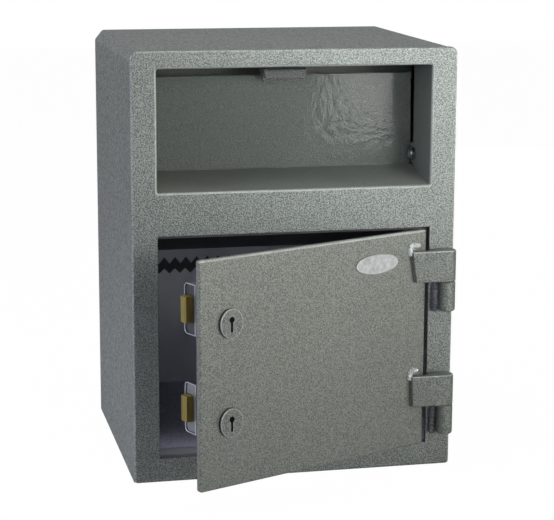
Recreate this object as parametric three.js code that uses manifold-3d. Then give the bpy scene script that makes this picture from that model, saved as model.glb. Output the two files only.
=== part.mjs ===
// A free-standing drop safe: a tilting deposit hopper in the upper bay, a hinged door with two
// lever locks below it. Millimetres, +X to the right, +Y to the back, +Z up. The origin is the
// centre of the underside. The door stands part open and the hopper is closed.

import * as THREE from 'three';
import { mergeVertices } from 'three/addons/utils/BufferGeometryUtils.js';
import Module from 'manifold-3d';

const wasm = await Module();
wasm.setup();

// Gaps and steps that every piece shares
const seatGap = 0.3;
const cutOverrun = 2;
const arcSteps = 8;
const roundSteps = 40;
const smallRoundSteps = 20;

// Body: the openings and the margins round them add up to the outside
const openingWidth = 340;
const sideMargin = 31.5;
const bottomMargin = 30;
const doorOpeningHeight = 278;
const bandHeight = 52.5;
const hopperOpeningHeight = 148;
const topMargin = 21.5;
const bodyDepth = 337;
const shellThickness = 3;
const shellCornerWidth = 10;
const shellCornerHeight = 12.5;
const frontCornerRadius = 10;
const footCornerRadius = 4;
const frontThickness = 5;
const backThickness = 3;
const baseThickness = 3;

// Floor tray, with the mat on it
const floorSheet = 2.7;
const floorOverDoorEdge = 0.7;
const matThickness = 2;
const matFromTrayEdge = 21;

// Top door stop and bolt keeper
const stopSheet = 3;
const stopOverlap = 2.5;
const stopSetback = 3;
const stopFlange = 16;
const keeperWall = 2.5;
const keeperRise = 17;
const keeperClearance = 0.5;

// Door
const doorGap = 1.8;
const doorThickness = 8;
const doorRecess = 1;
const doorCornerRadius = 3;
const doorEdge = 0.8;
const doorOpenAngle = 23.5;

// Door hinges: a strap on the door turns on a pin in a barrel on the body
const pinBeyondOpening = 19.5;
const pinForward = 15;
const pinRadius = 6;
const pinRunning = 0.2;
const barrelRadius = 10.3;
const barrelHeight = 38;
const barrelChamfer = 1.6;
const barrelFootWidth = 9;
const boreEndWall = 6;
const strapHeight = 39;
const strapReach = 44.5;
const strapEndThickness = 7;
const strapLanding = 13;
const hingeGap = 0.4;
const upperStrapDrop = 63.7;
const upperStrapSlant = 3.5;
const lowerStrapRise = 52.2;
const lowerStrapSlant = 1;

// Keyholes and their escutcheons
const keyholeInset = 41.8;
const keyholeRadius = 3.8;
const keyholeSlotWidth = 3.1;
const keyholeSlotReach = 14.9;
const escutcheonWidth = 32;
const escutcheonHeight = 35.5;
const escutcheonThickness = 4;
const escutcheonEdge = 1.2;
const escutcheonDrop = 4.4;

// Badge
const badgeLength = 65.5;
const badgeWidth = 25.5;
const badgeThickness = 1.6;
const badgeRim = 1.6;
const badgeFieldDepth = 0.5;
const badgeFromHingeEdge = 78.7;
const badgeFromTop = 33.9;

// Locks, set in from the door's free edge and stood off its back on brackets
const upperLockFromTop = 63.9;
const lowerLockFromBottom = 92;
const lockInset = 10.9;
const lockLength = 70;
const lockHeight = 61;
const lockDepth = 24;
const lockStandoff = 16.7;
const caseWall = 1.5;
const capThickness = 2;
const bracketSheet = 2.5;
const bracketInset = 4.5;
const rotorDrop = 9.1;
const rotorRadius = 9;
const rotorEndWall = 6;
const lockRunning = 0.3;

// Bolts
const boltThickness = 13.7;
const boltHeight = 30.5;
const boltSetback = 3.7;
const boltBlockLength = 23.5;
const boltNoseChamfer = 2;
const boltTailThickness = 4;
const boltTailLength = 50;
const boltSlotRunning = 0.4;
const boltThrow = 11;
const stumpRadius = 2;
const stumpFromTailEnd = 18.5;

// Levers
const leverThickness = 9;
const leverReach = 34;
const leverRotorGap = 0.6;
const leverTop = 18.5;
const leverPivotInset = 11;
const leverPivotRise = 9.5;
const leverPostRadius = 2.5;
const leverEyeRadius = 6;
const leverPocketInset = 9;
const leverPocketLength = 21;
const leverPocketRim = 3.5;

// Lock screws
const screwRadius = 2.2;
const screwHeadRadius = 4.2;
const screwHeadHeight = 2.4;
const screwBite = 4;
const screwInset = 9;
const screwRise = 23;
const screwSlotWidth = 1.2;
const screwSlotDepth = 1.1;

// Hopper recess: a sloping floor between two side plates
const recessDepth = 83.5;
const recessRise = 14;
const recessSheet = 3;
const sidePlateThickness = 3;
const sidePlateDepth = 77;
const sidePlateDrop = 8.5;
const sidePlateRise = 8;
const sideTongueDepth = 102.5;
const sideTongueHeight = 24;

// Hopper: flap, cheeks and rear plate turn together on two pins
const pivotDepth = 72.5;
const pivotRise = 29;
const flapThickness = 3;
const flapStopGap = 0.5;
const flapOverlap = 3.5;
const flapLean = 3.7;
const flapTopGap = 18.4;
const flapCornerRadius = 5;
const cheekThickness = 3;
const cheekSideGap = 0.8;
const cheekRadius = 104;
const cheekEarRadius = 8;
const rearPlateSheet = 3;
const rearPlateDip = 25;
const hopperPinRadius = 4;
const hopperPinHeadRadius = 6;
const hopperPinHeadHeight = 2.2;
const hopperPinBeyond = 2;
const bushWall = 2;
const bushFlangeWidth = 3;
const bushFlangeThickness = 1.5;

// Pull tab at the top of the flap
const tabSheet = 2.5;
const tabTopWidth = 56;
const tabBottomWidth = 48;
const tabForward = 24;
const tabRise = 11;
const tabLipHeight = 13.3;
const tabFootHeight = 20;

// Baffles against fishing, with saw-toothed edges
const toothPitch = 14.7;
const toothTipWidth = 0.8;
const toothRootWidth = 0.6;
const baffleSheet = 3;
const chuteFrontDepth = 78.5;
const chuteRiserDrop = 22;
const chuteEndDepth = 250.5;
const chuteEndDrop = 117.2;
const chuteLipHeight = 20.6;
const chuteToothDepth = 8.5;
const chuteTeethAside = 1.3;
const rearBaffleHeight = 197.3;
const rearToothDepth = 6.7;
const roofBaffleDepth = 139;
const roofBaffleHeight = 49;
const roofBaffleFlange = 20;

// Outside size and main places, worked out from the sizes above
const bodyWidth = openingWidth + 2 * sideMargin;
const doorOpeningTop = bottomMargin + doorOpeningHeight;
const hopperOpeningBottom = doorOpeningTop + bandHeight;
const hopperOpeningTop = hopperOpeningBottom + hopperOpeningHeight;
const bodyHeight = hopperOpeningTop + topMargin;
const halfWidth = bodyWidth / 2;
const openingHalf = openingWidth / 2;
const frontY = -bodyDepth / 2;
const backY = bodyDepth / 2;
const frontInside = frontY + frontThickness + seatGap;
const backInside = backY - backThickness - seatGap;
const sideInside = halfWidth - shellThickness - seatGap;
const roofInside = bodyHeight - shellThickness - seatGap;
const baseTop = baseThickness + seatGap;
const doorHalf = openingHalf - doorGap;
const doorBottom = bottomMargin + doorGap;
const doorTop = doorOpeningTop - doorGap;
const doorFront = frontY + doorRecess;
const doorBack = doorFront + doorThickness;
const pinX = openingHalf + pinBeyondOpening;
const pinY = frontY - pinForward;
const pivotY = frontY + pivotDepth;
const pivotZ = hopperOpeningBottom + pivotRise;
const degrees = Math.PI / 180;

// Finishes: colour, roughness and metalness of each kind of surface
const finishes = {
  hammerPaint: { color: 0x858d86, roughness: 0.42, metalness: 0.3 },
  innerPaint: { color: 0x4a4c4d, roughness: 0.55, metalness: 0.2 },
  bareSteel: { color: 0x9a9c9e, roughness: 0.35, metalness: 0.9 },
  zinc: { color: 0xb9bcc6, roughness: 0.3, metalness: 0.9 },
  brass: { color: 0xc2a24c, roughness: 0.35, metalness: 0.9 },
  satinSilver: { color: 0xc8ccc8, roughness: 0.3, metalness: 0.8 },
  mat: { color: 0x262733, roughness: 0.95, metalness: 0 },
  nylon: { color: 0xd6d4ca, roughness: 0.5, metalness: 0 },
};

// A closed three.js geometry as a solid that can be joined and cut
function toSolid(geometry) {
  const bare = geometry.clone();
  bare.deleteAttribute('normal');
  bare.deleteAttribute('uv');
  const welded = mergeVertices(bare);
  const corners = welded.index.array;
  const kept = [];
  for (let i = 0; i < corners.length; i += 3) {
    const [a, b, c] = [corners[i], corners[i + 1], corners[i + 2]];
    if (a !== b && b !== c && c !== a) kept.push(a, b, c);
  }
  return new wasm.Manifold(new wasm.Mesh({
    numProp: 3,
    vertProperties: new Float32Array(welded.attributes.position.array),
    triVerts: new Uint32Array(kept),
  }));
}

// A solid back as a three.js geometry
function toGeometry(solid) {
  const data = solid.getMesh();
  const geometry = new THREE.BufferGeometry();
  geometry.setAttribute('position', new THREE.BufferAttribute(new Float32Array(data.vertProperties), 3));
  geometry.setIndex(new THREE.BufferAttribute(new Uint32Array(data.triVerts), 1));
  geometry.computeVertexNormals();
  return geometry;
}

function join(first, ...others) {
  return others.reduce((sum, other) => sum.add(other), first);
}

function cut(first, ...others) {
  return others.reduce((rest, other) => rest.subtract(other), first);
}

// One named piece with a material of its own
function piece(name, solid, finish) {
  const material = new THREE.MeshStandardMaterial({ ...finishes[finish], flatShading: true });
  const mesh = new THREE.Mesh(toGeometry(solid), material);
  mesh.name = name;
  return mesh;
}

// A box between two corners, each given as low and high values along an axis
function box(x0, x1, y0, y1, z0, z1) {
  const geometry = new THREE.BoxGeometry(x1 - x0, y1 - y0, z1 - z0);
  geometry.translate((x0 + x1) / 2, (y0 + y1) / 2, (z0 + z1) / 2);
  return toSolid(geometry);
}

function outline(points) {
  return new THREE.Shape(points.map(([a, b]) => new THREE.Vector2(a, b)));
}

// An outline given a thickness, with its edges rounded off by the edge size
function extrude(shape, depth, edge = 0) {
  const geometry = new THREE.ExtrudeGeometry(shape, {
    depth: depth - 2 * edge,
    curveSegments: arcSteps,
    bevelEnabled: edge > 0,
    bevelSize: edge,
    bevelThickness: edge,
    bevelOffset: -edge,
    bevelSegments: 2,
  });
  geometry.translate(0, 0, edge);
  return geometry;
}

// An outline in (y, z) carried from x0 to x1
function prismX(shape, x0, x1, edge) {
  const geometry = extrude(shape, x1 - x0, edge);
  const along = new THREE.Vector3(1, 0, 0);
  const turn = new THREE.Matrix4();
  turn.makeBasis(new THREE.Vector3(0, 1, 0), new THREE.Vector3(0, 0, 1), along);
  geometry.applyMatrix4(turn);
  geometry.translate(x0, 0, 0);
  return toSolid(geometry);
}

// An outline in (x, z) carried from y0 back to y1
function prismY(shape, y0, y1, edge) {
  const geometry = extrude(shape, y1 - y0, edge);
  const along = new THREE.Vector3(0, -1, 0);
  const turn = new THREE.Matrix4();
  turn.makeBasis(new THREE.Vector3(1, 0, 0), new THREE.Vector3(0, 0, 1), along);
  geometry.applyMatrix4(turn);
  geometry.translate(0, y1, 0);
  return toSolid(geometry);
}

// An outline in (x, y) carried from z0 up to z1
function prismZ(shape, z0, z1, edge) {
  const geometry = extrude(shape, z1 - z0, edge);
  geometry.translate(0, 0, z0);
  return toSolid(geometry);
}

// Round bars along each axis
function rodX(radius, x0, x1, y, z, steps = smallRoundSteps) {
  const geometry = new THREE.CylinderGeometry(radius, radius, x1 - x0, steps);
  geometry.rotateZ(-Math.PI / 2);
  geometry.translate((x0 + x1) / 2, y, z);
  return toSolid(geometry);
}

function rodY(radius, y0, y1, x, z, steps = smallRoundSteps) {
  const geometry = new THREE.CylinderGeometry(radius, radius, y1 - y0, steps);
  geometry.translate(x, (y0 + y1) / 2, z);
  return toSolid(geometry);
}

function rodZ(radius, z0, z1, x, y, steps = smallRoundSteps) {
  const geometry = new THREE.CylinderGeometry(radius, radius, z1 - z0, steps);
  geometry.rotateX(Math.PI / 2);
  geometry.translate(x, y, (z0 + z1) / 2);
  return toSolid(geometry);
}

// Low and high x of a layer between two distances from the middle, on the side asked for
function span(side, near, far) {
  return side > 0 ? [near, far] : [-far, -near];
}

function sideName(side) {
  return side > 0 ? 'right' : 'left';
}

// Front plate's outline: rounded corners, small ones at the feet
function frontOutline() {
  const corner = halfWidth - frontCornerRadius;
  const shoulder = bodyHeight - frontCornerRadius;
  const foot = halfWidth - footCornerRadius;
  const shape = new THREE.Shape();
  shape.moveTo(-foot, 0);
  shape.absarc(foot, footCornerRadius, footCornerRadius, -Math.PI / 2, 0, false);
  shape.absarc(corner, shoulder, frontCornerRadius, 0, Math.PI / 2, false);
  shape.absarc(-corner, shoulder, frontCornerRadius, Math.PI / 2, Math.PI, false);
  shape.absarc(-foot, footCornerRadius, footCornerRadius, Math.PI, Math.PI + Math.PI / 2, false);
  return shape;
}

// Points up one side of the shell, over its slanted top corners and down the other side
function shellPoints(inset) {
  const steep = Math.hypot(shellCornerWidth, shellCornerHeight);
  const side = halfWidth - inset;
  const roof = bodyHeight - inset;
  const slope = shellCornerHeight / shellCornerWidth;
  const middle = (steep / shellCornerWidth) * inset;
  const lean = bodyHeight + slope * (halfWidth - shellCornerWidth) - middle;
  const right = [[side, 0], [side, lean - slope * side], [(lean - roof) / slope, roof]];
  const left = right.map(([x, z]) => [-x, z]).reverse();
  return [...right, ...left];
}

function rectanglePath(x0, x1, z0, z1) {
  return new THREE.Path([[x0, z0], [x0, z1], [x1, z1], [x1, z0]].map(([x, z]) => new THREE.Vector2(x, z)));
}

// Keyhole: a round head with a straight slot below it
function keyholePoints(x, z) {
  const half = keyholeSlotWidth / 2;
  const meet = Math.asin(half / keyholeRadius);
  const path = new THREE.Path();
  path.moveTo(x - half, z - keyholeSlotReach);
  path.absarc(x, z, keyholeRadius, -Math.PI / 2 - meet, -Math.PI / 2 + meet, true);
  path.lineTo(x + half, z - keyholeSlotReach);
  return path.getPoints(arcSteps);
}

// Body shell: one sheet bent into an upturned U between the front plate and the back panel
function bodyShell() {
  const section = outline([...shellPoints(0), ...shellPoints(shellThickness).reverse()]);
  return piece('body_shell', prismY(section, frontInside, backInside), 'hammerPaint');
}

function frontPlate() {
  const shape = frontOutline();
  shape.holes.push(rectanglePath(-openingHalf, openingHalf, bottomMargin, doorOpeningTop));
  shape.holes.push(rectanglePath(-openingHalf, openingHalf, hopperOpeningBottom, hopperOpeningTop));
  return piece('front_plate', prismY(shape, frontY, frontY + frontThickness), 'hammerPaint');
}

function backPanel() {
  const plate = prismY(outline(shellPoints(0)), backY - backThickness, backY);
  return piece('back_panel', plate, 'hammerPaint');
}

function basePlate() {
  const plate = box(-sideInside, sideInside, frontInside, backInside, 0, baseThickness);
  return piece('base_plate', plate, 'innerPaint');
}

const floorTop = doorBottom + floorOverDoorEdge;
const floorFront = doorBack + seatGap;
const rearBaffleFront = backInside - baffleSheet;
const floorBack = rearBaffleFront - seatGap;

// Floor tray: a sheet on down-turned flanges, whose front edge is the lower door stop
function floorTray() {
  const under = floorTop - floorSheet;
  const section = outline([
    [floorFront, baseTop],
    [floorFront + floorSheet, baseTop],
    [floorFront + floorSheet, under],
    [floorBack - floorSheet, under],
    [floorBack - floorSheet, baseTop],
    [floorBack, baseTop],
    [floorBack, floorTop],
    [floorFront, floorTop],
  ]);
  return piece('floor_tray', prismX(section, -sideInside, sideInside), 'innerPaint');
}

function floorMat() {
  const half = openingHalf - seatGap;
  const bottom = floorTop + seatGap;
  const mat = box(-half, half, floorFront + matFromTrayEdge, floorBack, bottom, bottom + matThickness);
  return piece('floor_mat', mat, 'mat');
}

// Top door stop: a Z-shaped strip on the front plate, with its lip behind the door's top edge
function doorStop() {
  const lip = doorBack + seatGap;
  const shoulder = doorOpeningTop + stopSetback;
  const top = shoulder + stopFlange;
  const section = outline([
    [lip, doorTop - stopOverlap],
    [lip + stopSheet, doorTop - stopOverlap],
    [lip + stopSheet, shoulder + stopSheet],
    [frontInside + stopSheet, shoulder + stopSheet],
    [frontInside + stopSheet, top],
    [frontInside, top],
    [frontInside, shoulder],
    [lip, shoulder],
  ]);
  const half = openingHalf - seatGap;
  return piece('top_door_stop', prismX(section, -half, half), 'innerPaint');
}

// Lock layers, from the door's back towards the inside of the safe
const capFront = doorBack + seatGap + lockStandoff;
const capBack = capFront + capThickness;
const caseFront = capBack + seatGap;
const caseBack = capFront + lockDepth;
const caseInside = caseBack - caseWall;
const boltBack = caseInside - lockRunning;
const boltFront = boltBack - boltThickness;
const tailFront = boltBack - boltTailThickness;
const leverBack = tailFront - lockRunning;
const leverFront = leverBack - leverThickness;
const bracketFront = doorBack + seatGap;
const bracketBack = capFront - seatGap;
const lockLeft = -doorHalf + lockInset;
const lockRight = lockLeft + lockLength;
const boltNose = -doorHalf + boltSetback;
const boltBlockEnd = boltNose + boltBlockLength;
const boltTailEnd = boltBlockEnd + boltTailLength;
const leverPivotX = lockRight - leverPivotInset;
const keyholeX = -doorHalf + keyholeInset;

const locks = [
  { name: 'upper', z: doorTop - upperLockFromTop },
  { name: 'lower', z: doorBottom + lowerLockFromBottom },
];

// Bolt keeper: a square tube behind the front plate, on the side where the bolts go out
function boltKeeper() {
  const left = -sideInside;
  const right = -openingHalf - seatGap;
  const back = boltFront - keeperClearance;
  const bottom = floorTop + seatGap;
  const top = doorOpeningTop + keeperRise;
  const tube = box(left, right, frontInside, back, bottom, top);
  const hollow = box(
    left + keeperWall,
    right - keeperWall,
    frontInside + keeperWall,
    back - keeperWall,
    bottom - cutOverrun,
    top + cutOverrun,
  );
  return piece('bolt_keeper', cut(tube, hollow), 'innerPaint');
}

// Recess floor: climbs from the front opening to the flap
const recessBackY = frontY + recessDepth;
const recessSlope = recessRise / (recessBackY - frontInside);

function recessFloorTop(y) {
  return hopperOpeningBottom + (y - frontInside) * recessSlope;
}

function recessFloor() {
  const section = outline([
    [frontInside, recessFloorTop(frontInside) - recessSheet],
    [recessBackY, recessFloorTop(recessBackY) - recessSheet],
    [recessBackY, recessFloorTop(recessBackY)],
    [frontInside, recessFloorTop(frontInside)],
  ]);
  const half = openingHalf - seatGap;
  return piece('recess_floor', prismX(section, -half, half), 'hammerPaint');
}

const bushInner = hopperPinRadius + pinRunning;
const bushOuter = bushInner + bushWall;
const sidePlateOuter = openingHalf + sidePlateThickness;

// Recess side plate, with a tongue to the back that holds the hopper's bush
function hopperSide(side) {
  const back = frontY + sidePlateDepth;
  const tongueBack = frontY + sideTongueDepth;
  const low = hopperOpeningBottom - sidePlateDrop;
  const high = hopperOpeningTop + sidePlateRise;
  const tongueLow = pivotZ - sideTongueHeight / 2;
  const tongueHigh = pivotZ + sideTongueHeight / 2;
  const section = outline([
    [frontInside, low],
    [back, low],
    [back, tongueLow],
    [tongueBack, tongueLow],
    [tongueBack, tongueHigh],
    [back, tongueHigh],
    [back, high],
    [frontInside, high],
  ]);
  const plate = prismX(section, ...span(side, openingHalf, sidePlateOuter));
  const through = span(side, openingHalf - cutOverrun, sidePlateOuter + cutOverrun);
  const hole = rodX(bushOuter + seatGap, ...through, pivotY, pivotZ);
  return piece(`hopper_side_${sideName(side)}`, cut(plate, hole), 'hammerPaint');
}

// Flanged bush, pressed into the side plate from outside
function hopperBush(side) {
  const flangeNear = sidePlateOuter + seatGap;
  const flangeFar = flangeNear + bushFlangeThickness;
  const sleeve = rodX(bushOuter, ...span(side, openingHalf, flangeFar), pivotY, pivotZ);
  const flange = rodX(bushOuter + bushFlangeWidth, ...span(side, flangeNear, flangeFar), pivotY, pivotZ);
  const through = span(side, openingHalf - cutOverrun, flangeFar + cutOverrun);
  const bore = rodX(bushInner, ...through, pivotY, pivotZ);
  return piece(`hopper_bush_${sideName(side)}`, cut(join(sleeve, flange), bore), 'nylon');
}

const toothCount = 2 * Math.floor(sideInside / toothPitch);

// V-shaped notches that leave saw teeth along the edge at edgeZ, as far as the roots at rootZ
function toothNotches(count, aside, edgeZ, rootZ, y0, y1) {
  const beyond = edgeZ + Math.sign(edgeZ - rootZ) * cutOverrun;
  const start = aside - count * toothPitch / 2;
  const half = (toothPitch - toothTipWidth) / 2;
  const notches = [];
  for (let i = 0; i < count; i += 1) {
    const middle = start + (i + 1 / 2) * toothPitch;
    const points = [
      [middle - half, beyond],
      [middle - half, edgeZ],
      [middle - toothRootWidth / 2, rootZ],
      [middle + toothRootWidth / 2, rootZ],
      [middle + half, edgeZ],
      [middle + half, beyond],
    ];
    if (edgeZ > rootZ) points.reverse();
    notches.push(prismY(outline(points.reverse()), y0 - cutOverrun, y1 + cutOverrun));
  }
  return notches;
}

// Chute baffle: a riser under the recess floor, a slope to the back and a toothed lip
function chuteBaffle() {
  const riserY = frontY + chuteFrontDepth;
  const riserBack = riserY + baffleSheet;
  const riserTop = recessFloorTop(riserY) - recessSheet - seatGap;
  const slopeTop = riserTop - chuteRiserDrop;
  const lipBack = frontY + chuteEndDepth;
  const lipFront = lipBack - baffleSheet;
  const lipTop = hopperOpeningBottom - chuteEndDrop;
  const lipBottom = lipTop - chuteLipHeight;
  const slope = (slopeTop - lipTop) / (lipBack - riserBack);
  const sheetDrop = baffleSheet * Math.hypot(slope, 1);
  const section = outline([
    [riserY, riserTop],
    [riserY, slopeTop + slope * baffleSheet - sheetDrop],
    [lipFront, lipTop + slope * baffleSheet - sheetDrop],
    [lipFront, lipBottom],
    [lipBack, lipBottom],
    [lipBack, lipTop],
    [riserBack, slopeTop],
    [riserBack, riserTop],
  ]);
  const sheet = prismX(section, -sideInside, sideInside);
  const roots = lipBottom + chuteToothDepth;
  const notches = toothNotches(toothCount, chuteTeethAside, lipBottom, roots, lipFront, lipBack);
  return piece('chute_baffle', cut(sheet, ...notches), 'innerPaint');
}

// Rear baffle: an upright sheet on the back panel, whose teeth point into the other row's gaps
function rearBaffle() {
  const low = floorTop + seatGap;
  const sheet = box(-sideInside, sideInside, rearBaffleFront, backInside, low, rearBaffleHeight);
  const roots = rearBaffleHeight - rearToothDepth;
  const notches = toothNotches(toothCount - 1, 0, rearBaffleHeight, roots, rearBaffleFront, backInside);
  return piece('rear_baffle', cut(sheet, ...notches), 'innerPaint');
}

// Roof baffle: hangs behind the flap, just outside the circle that the hopper sweeps
function roofBaffle() {
  const front = frontY + roofBaffleDepth;
  const low = roofInside - roofBaffleHeight;
  const section = outline([
    [front, low],
    [front + baffleSheet, low],
    [front + baffleSheet, roofInside - baffleSheet],
    [front + roofBaffleFlange, roofInside - baffleSheet],
    [front + roofBaffleFlange, roofInside],
    [front, roofInside],
  ]);
  const half = halfWidth - shellCornerWidth - 2 * shellThickness;
  return piece('roof_baffle', prismX(section, -half, half), 'innerPaint');
}

const straps = [
  { name: 'upper', z: doorTop - upperStrapDrop, slant: upperStrapSlant },
  { name: 'lower', z: doorBottom + lowerStrapRise, slant: lowerStrapSlant },
];

// Hinge barrel on the body: a bar bored from the top, on a foot that is welded to the front
function hingeBarrel(strap) {
  const top = strap.z - hingeGap;
  const bottom = top - barrelHeight;
  const bore = pinRadius + pinRunning;
  const profile = [
    [0, bottom],
    [barrelRadius - barrelChamfer, bottom],
    [barrelRadius, bottom + barrelChamfer],
    [barrelRadius, top],
    [bore, top],
    [bore, bottom + boreEndWall],
    [0, bottom + boreEndWall],
  ];
  const turned = new THREE.LatheGeometry(profile.map(([r, z]) => new THREE.Vector2(r, z)), roundSteps);
  turned.rotateX(Math.PI / 2);
  turned.translate(pinX, pinY, 0);
  const half = barrelFootWidth / 2;
  const footFront = pinY + (barrelRadius + bore) / 2;
  const footBottom = bottom + barrelChamfer;
  const foot = box(pinX - half, pinX + half, footFront, frontY - seatGap, footBottom, top);
  return piece(`hinge_barrel_${strap.name}`, join(toSolid(turned), foot), 'hammerPaint');
}

function hingePin(strap) {
  const low = strap.z - hingeGap - barrelHeight + boreEndWall + seatGap;
  const high = strap.z + strapHeight - boreEndWall - seatGap;
  return piece(`hinge_pin_${strap.name}`, rodZ(pinRadius, low, high, pinX, pinY, roundSteps), 'bareSteel');
}

// Hinge strap on the door: a knuckle round the pin that tapers down onto the door's face
function hingeStrap(strap) {
  const endX = pinX - strapReach;
  const onDoor = doorFront - seatGap;
  const endFront = onDoor - strapEndThickness;
  const toPin = Math.hypot(strapReach, pinY - endFront);
  const slope = Math.atan2(pinY - endFront, strapReach) - Math.asin(barrelRadius / toPin);
  const landing = endX + strapLanding;
  const shape = new THREE.Shape();
  const farX = endX - strap.slant;
  shape.moveTo(farX, onDoor);
  shape.lineTo(farX, endFront);
  shape.absarc(pinX, pinY, barrelRadius, slope - Math.PI / 2, Math.PI / 2, false);
  shape.lineTo(landing, pinY + barrelRadius);
  shape.lineTo(landing, onDoor);
  const full = prismZ(shape, strap.z, strap.z + strapHeight);
  const trim = outline([
    [endX - strap.slant - cutOverrun, strap.z - cutOverrun],
    [endX + strap.slant * (1 + 2 * cutOverrun / strapHeight), strap.z - cutOverrun],
    [endX - strap.slant * (1 + 2 * cutOverrun / strapHeight), strap.z + strapHeight + cutOverrun],
    [endX - strap.slant - cutOverrun, strap.z + strapHeight + cutOverrun],
  ]);
  const strapSolid = cut(full, prismY(trim, endFront - cutOverrun, onDoor + cutOverrun));
  const boreTop = strap.z + strapHeight - boreEndWall;
  const bore = rodZ(pinRadius + pinRunning, strap.z - cutOverrun, boreTop, pinX, pinY, roundSteps);
  return piece(`hinge_strap_${strap.name}`, cut(strapSolid, bore), 'hammerPaint');
}

function doorPlate() {
  const r = doorCornerRadius;
  const shape = new THREE.Shape();
  shape.moveTo(-doorHalf + r, doorBottom);
  shape.absarc(doorHalf - r, doorBottom + r, r, -Math.PI / 2, 0, false);
  shape.absarc(doorHalf - r, doorTop - r, r, 0, Math.PI / 2, false);
  shape.absarc(-doorHalf + r, doorTop - r, r, Math.PI / 2, Math.PI, false);
  shape.absarc(-doorHalf + r, doorBottom + r, r, Math.PI, Math.PI + Math.PI / 2, false);
  locks.forEach((lock) => shape.holes.push(new THREE.Path(keyholePoints(keyholeX, lock.z - rotorDrop))));
  return piece('door_plate', prismY(shape, doorFront, doorBack, doorEdge), 'hammerPaint');
}

function escutcheon(lock) {
  const z = lock.z - rotorDrop;
  const shape = new THREE.Shape();
  const oval = [escutcheonWidth / 2, escutcheonHeight / 2];
  shape.absellipse(keyholeX, z - escutcheonDrop, ...oval, 0, 2 * Math.PI, false, 0);
  const points = shape.getPoints(smallRoundSteps);
  const plate = new THREE.Shape(points);
  plate.holes.push(new THREE.Path(keyholePoints(keyholeX, z)));
  const back = doorFront - seatGap;
  const solid = prismY(plate, back - escutcheonThickness, back, escutcheonEdge);
  return piece(`escutcheon_${lock.name}`, solid, 'hammerPaint');
}

// Badge: a bare oval plate with a raised rim
function badgePlate() {
  const x = doorHalf - badgeFromHingeEdge;
  const z = doorTop - badgeFromTop;
  const back = doorFront - seatGap;
  const face = back - badgeThickness;
  const oval = (inset) => {
    const shape = new THREE.Shape();
    shape.absellipse(x, z, badgeLength / 2 - inset, badgeWidth / 2 - inset, 0, 2 * Math.PI, false, 0);
    return new THREE.Shape(shape.getPoints(roundSteps));
  };
  const field = prismY(oval(badgeRim), face - cutOverrun, face + badgeFieldDepth);
  return piece('badge_plate', cut(prismY(oval(0), face, back), field), 'satinSilver');
}

const screwPlaces = [
  { x: lockLeft + screwInset, rise: screwRise },
  { x: lockRight - screwInset, rise: -screwRise },
];

function screwHoles(lock, y0, y1) {
  const radius = screwRadius + seatGap;
  const [front, back] = [y0 - cutOverrun, y1 + cutOverrun];
  return screwPlaces.map((place) => rodY(radius, front, back, place.x, lock.z + place.rise));
}

// The key's way in, through every sheet in front of the lock
function keyWay(lock, y0, y1) {
  const shape = new THREE.Shape(keyholePoints(keyholeX, lock.z - rotorDrop));
  return prismY(shape, y0 - cutOverrun, y1 + cutOverrun);
}

// Lock bracket: a channel welded to the door's back that the lock is screwed to
function lockBracket(lock) {
  const half = lockHeight / 2;
  const near = bracketFront;
  const far = bracketBack;
  const section = outline([
    [near, lock.z - half],
    [far, lock.z - half],
    [far, lock.z + half],
    [near, lock.z + half],
    [near, lock.z + half - bracketSheet],
    [far - bracketSheet, lock.z + half - bracketSheet],
    [far - bracketSheet, lock.z - half + bracketSheet],
    [near, lock.z - half + bracketSheet],
  ]);
  const channel = prismX(section, lockLeft + bracketInset, lockRight - bracketInset);
  const holes = screwHoles(lock, far - bracketSheet, far);
  const body = cut(channel, keyWay(lock, far - bracketSheet, far), ...holes);
  return piece(`lock_bracket_${lock.name}`, body, 'bareSteel');
}

// Lock cap: the flat plate that closes the case towards the door
function lockCap(lock) {
  const half = lockHeight / 2;
  const plate = box(lockLeft, lockRight, capFront, capBack, lock.z - half, lock.z + half);
  const body = cut(plate, keyWay(lock, capFront, capBack), ...screwHoles(lock, capFront, capBack));
  return piece(`lock_cap_${lock.name}`, body, 'zinc');
}

// Lock case: an open box with a window for the bolt and a post for the levers
function lockCase(lock) {
  const half = lockHeight / 2;
  const outside = box(lockLeft, lockRight, caseFront, caseBack, lock.z - half, lock.z + half);
  const hollow = box(
    lockLeft + caseWall,
    lockRight - caseWall,
    caseFront - cutOverrun,
    caseInside,
    lock.z - half + caseWall,
    lock.z + half - caseWall,
  );
  const windowHalf = boltHeight / 2 + boltSlotRunning;
  const window = box(
    lockLeft - cutOverrun,
    lockLeft + caseWall + cutOverrun,
    boltFront - boltSlotRunning,
    caseInside,
    lock.z - windowHalf,
    lock.z + windowHalf,
  );
  const postEnd = caseInside + caseWall / 2;
  const post = rodY(leverPostRadius, caseFront, postEnd, leverPivotX, lock.z + leverPivotRise);
  const body = cut(join(cut(outside, hollow), post), window, ...screwHoles(lock, caseInside, caseBack));
  return piece(`lock_case_${lock.name}`, body, 'zinc');
}

function lockScrew(lock, place, number) {
  const z = lock.z + place.rise;
  const seat = caseBack + seatGap;
  const top = seat + screwHeadHeight;
  const tip = bracketBack - screwBite;
  const shank = rodY(screwRadius, tip, (seat + top) / 2, place.x, z);
  const head = rodY(screwHeadRadius, seat, top, place.x, z);
  const reach = screwHeadRadius + cutOverrun;
  const half = screwSlotWidth / 2;
  const floor = top - screwSlotDepth;
  const slot = box(place.x - reach, place.x + reach, floor, top + cutOverrun, z - half, z + half);
  return piece(`lock_screw_${lock.name}_${number}`, cut(join(shank, head), slot), 'zinc');
}

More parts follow.
